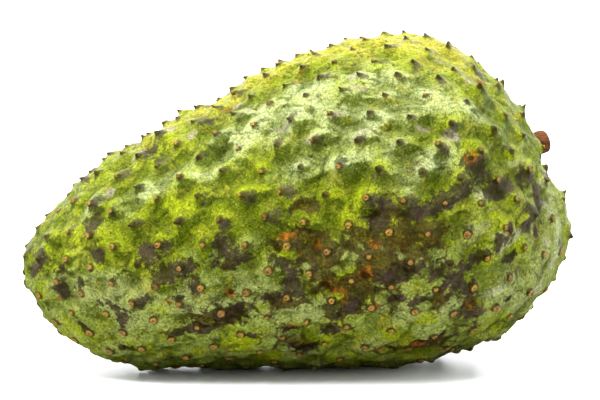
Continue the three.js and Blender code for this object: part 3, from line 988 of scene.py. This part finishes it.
# Clouds of green, the layers over them, and the grain over all.
def skinColour(tree, field):
    tone = {name: toLinear(value) for name, value in skinFinish.items() if isinstance(value, str)}
    darkEnd, lightEnd = skinFinish["cloudsShown"]
    clouded = addNode(tree, "ShaderNodeMapRange", {0: field["clouds"], 1: darkEnd, 2: lightEnd})
    colour = addNode(tree, "ShaderNodeMix", {
        0: clouded, 6: tone["deep"], 7: tone["lime"],
    }, output=2, data_type="RGBA")
    for mask, tearing, raggedness, start, full, strength, *tones in skinFinish["layers"]:
        torn = addNode(tree, "ShaderNodeMath", {
            0: field[tearing], 1: raggedness, 2: field[mask],
        }, operation="MULTIPLY_ADD")
        share = addNode(tree, "ShaderNodeMapRange", {
            0: torn, 1: start, 2: full, 4: strength,
        }, interpolation_type="SMOOTHSTEP")
        over = tone[tones[0]]
        if len(tones) == 3:  # a second colour, and what lies between the two
            between = addNode(tree, "ShaderNodeMapRange", {0: field[tones[2]], 1: 0.4, 2: 0.6})
            over = addNode(tree, "ShaderNodeMix", {
                0: between, 6: tone[tones[0]], 7: tone[tones[1]],
            }, output=2, data_type="RGBA")
        colour = addNode(tree, "ShaderNodeMix", {0: share, 6: colour, 7: over}, output=2, data_type="RGBA")

    # The grain darkens and lightens every colour.
    darkest, lightest = skinFinish["grainShade"]
    shade = addNode(tree, "ShaderNodeMapRange", {
        0: field["grain"], 1: 0.36, 2: 0.64, 3: darkest, 4: lightest,
    })
    return addNode(tree, "ShaderNodeVectorMath", {0: colour, "Scale": shade}, operation="SCALE")


def makeSkinMaterial():
    material, tree = blankMaterial("soursop rind, leathery and waxy")
    field = skinFields(tree)
    colour = skinColour(tree, field)
    height = 0.0
    for name, share in skinFinish["bumps"].items():
        height = addNode(tree, "ShaderNodeMath", {
            0: field[name], 1: share, 2: height,
        }, operation="MULTIPLY_ADD")
    bump = addNode(tree, "ShaderNodeBump", {
        "Strength": 1.0, "Distance": skinFinish["bumpHeight"] * millimetre, "Height": height,
    })
    rough = addNode(tree, "ShaderNodeMapRange", {
        0: field["mottle"], 1: 0.3, 2: 0.7,
        3: skinFinish["roughness"] - 0.06, 4: skinFinish["roughness"] + 0.1,
    })
    shader = addNode(tree, "ShaderNodeBsdfPrincipled", {
        "Base Color": colour, "Roughness": rough, "Normal": bump, "IOR": skinFinish["ior"],
        "Specular IOR Level": skinFinish["specular"], "Specular Tint": toLinear(skinFinish["wax"]),
    })
    addNode(tree, "ShaderNodeOutputMaterial", {"Surface": shader})
    return material


# Dry stalk wood: brown, dull, with fibres along the stub.
stubFinish = {
    "dark": "#281405",
    "light": "#633911",
    "roughness": 0.75,
    "specular": 0.15,
    "fibre": 0.7,  # mm across
    "fibreLength": 0.15,  # less draws them longer
    "bumpHeight": 0.4,  # mm
}


def makeStubMaterial():
    material, tree = blankMaterial("dry stalk wood, torn across the fibres")
    where = addNode(tree, "ShaderNodeTexCoord", output="Object")
    fibres = addNode(tree, "ShaderNodeMapping", {
        "Vector": where, "Rotation": (0, climb, -bodyTurn), "Scale": (stubFinish["fibreLength"], 1, 1),
    }, vector_type="POINT")
    grain = addNode(tree, "ShaderNodeTexNoise", {
        "Vector": fibres, "Scale": 1 / (stubFinish["fibre"] * millimetre), "Detail": 4,
    })
    stripes = addNode(tree, "ShaderNodeMapRange", {0: grain, 1: 0.35, 2: 0.65})
    colour = addNode(tree, "ShaderNodeMix", {
        0: stripes, 6: toLinear(stubFinish["dark"]), 7: toLinear(stubFinish["light"]),
    }, output=2, data_type="RGBA")
    bump = addNode(tree, "ShaderNodeBump", {
        "Strength": 0.6, "Distance": stubFinish["bumpHeight"] * millimetre, "Height": grain,
    })
    shader = addNode(tree, "ShaderNodeBsdfPrincipled", {
        "Base Color": colour, "Roughness": stubFinish["roughness"], "Normal": bump,
        "Specular IOR Level": stubFinish["specular"],
    })
    addNode(tree, "ShaderNodeOutputMaterial", {"Surface": shader})
    return material


# White studio paper, smoothed in the mill, so it has a faint sheen beside the fruit.
floorFinish = {
    "size": 6000,  # half its side
    "tooth": 2.5,  # mm, the paper's own is too fine to show
    "dark": "#fafbfd",
    "light": "#ffffff",
    "roughness": 0.3,
}


def makeFloor():
    size = floorFinish["size"]
    floor = addMesh("studio_floor", np.array([
        (-size, -size, 0), (size, -size, 0), (size, size, 0), (-size, size, 0),
    ], float), [[0, 1, 2, 3]])
    material, tree = blankMaterial("white studio paper, smoothed")
    where = addNode(tree, "ShaderNodeTexCoord", output="Object")
    tooth = addNode(tree, "ShaderNodeTexNoise", {
        "Vector": where, "Scale": 1 / (floorFinish["tooth"] * millimetre), "Detail": 3,
    })
    tone = addNode(tree, "ShaderNodeMix", {
        0: tooth, 6: toLinear(floorFinish["dark"]), 7: toLinear(floorFinish["light"]),
    }, output=2, data_type="RGBA")
    shader = addNode(tree, "ShaderNodeBsdfPrincipled", {
        "Base Color": tone, "Roughness": floorFinish["roughness"],
    })
    addNode(tree, "ShaderNodeOutputMaterial", {"Surface": shader})
    floor.data.materials.append(material)
    floor.visible_glossy = False  # the rind keeps its depth of colour below


light = {
    "skyTop": 2.4,
    "skyLevel": 3.0,
    "skyFront": 0.1,  # the dark room behind the camera
    "stalkSide": 1.5,  # brighter towards the stalk
    "skyColour": "#fbfcff",
    "backdrop": 1.05,  # what the camera sees of it
    "keyPower": 47,
    "keyPlace": (-0.25, -0.3, 1.25),
    "keySize": 0.6,
}


def makeLights():
    world = bpy.data.worlds.new("white studio")
    bpy.context.scene.world = world
    world.use_nodes = True
    tree = world.node_tree
    tree.nodes.clear()
    way = addNode(tree, "ShaderNodeTexCoord", output="Generated")
    side, back, up = (addNode(tree, "ShaderNodeSeparateXYZ", {"Vector": way}, output=k) for k in "XYZ")
    strength = addNode(tree, "ShaderNodeMapRange", {
        0: up, 1: 0, 2: 0.9, 3: light["skyLevel"], 4: light["skyTop"],
    })
    # Darker behind the camera, dark below the floor, and brighter towards the stalk.
    for start, full, low, high, axisWay in (
        (-0.8, 0.1, light["skyFront"], 1, back),
        (-0.1, 0.1, 0, 1, up),
        (0, 1, 1, light["stalkSide"], side),
    ):
        factor = addNode(tree, "ShaderNodeMapRange", {0: axisWay, 1: start, 2: full, 3: low, 4: high})
        strength = addNode(tree, "ShaderNodeMath", {0: strength, 1: factor}, operation="MULTIPLY")
    lit = addNode(tree, "ShaderNodeBackground", {
        "Color": toLinear(light["skyColour"]), "Strength": strength,
    })
    seen = addNode(tree, "ShaderNodeBackground", {"Color": (1, 1, 1, 1), "Strength": light["backdrop"]})
    path = addNode(tree, "ShaderNodeLightPath", output="Is Camera Ray")
    both = addNode(tree, "ShaderNodeMixShader", {0: path, 1: lit, 2: seen})
    addNode(tree, "ShaderNodeOutputWorld", {"Surface": both})

    lamp = bpy.data.lights.new("softbox", "AREA")
    lamp.shape = "SQUARE"
    lamp.size = light["keySize"]
    lamp.energy = light["keyPower"]
    key = bpy.data.objects.new("softbox", lamp)
    bpy.context.scene.collection.objects.link(key)
    key.location = light["keyPlace"]
    aim = Vector(camera["target"]) * millimetre - key.location
    key.rotation_euler = aim.to_track_quat("-Z", "Y").to_euler()


def makeCamera():
    eye, look, _, _ = cameraFrame()
    lens = bpy.data.cameras.new("camera")
    lens.sensor_width = 36
    lens.lens = lens.sensor_width * camera["focal"] / camera["width"]
    lens.clip_start, lens.clip_end = 0.05, 50
    view = bpy.data.objects.new("camera", lens)
    bpy.context.scene.collection.objects.link(view)
    view.location = eye * millimetre
    view.rotation_euler = Vector(look).to_track_quat("-Z", "Y").to_euler()
    bpy.context.scene.camera = view


makeCamera()
fruit = makeFruit()
fruit.data.materials.append(makeSkinMaterial())
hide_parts("fruit")
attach(fruit, "root")
print("fruit made")

stalk = makeStub()
stalk.data.materials.append(makeStubMaterial())
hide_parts("stem_stub")
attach(stalk, "root")
print("stalk made")

makeFloor()
makeLights()
bpy.context.scene.view_settings.view_transform = "Standard"
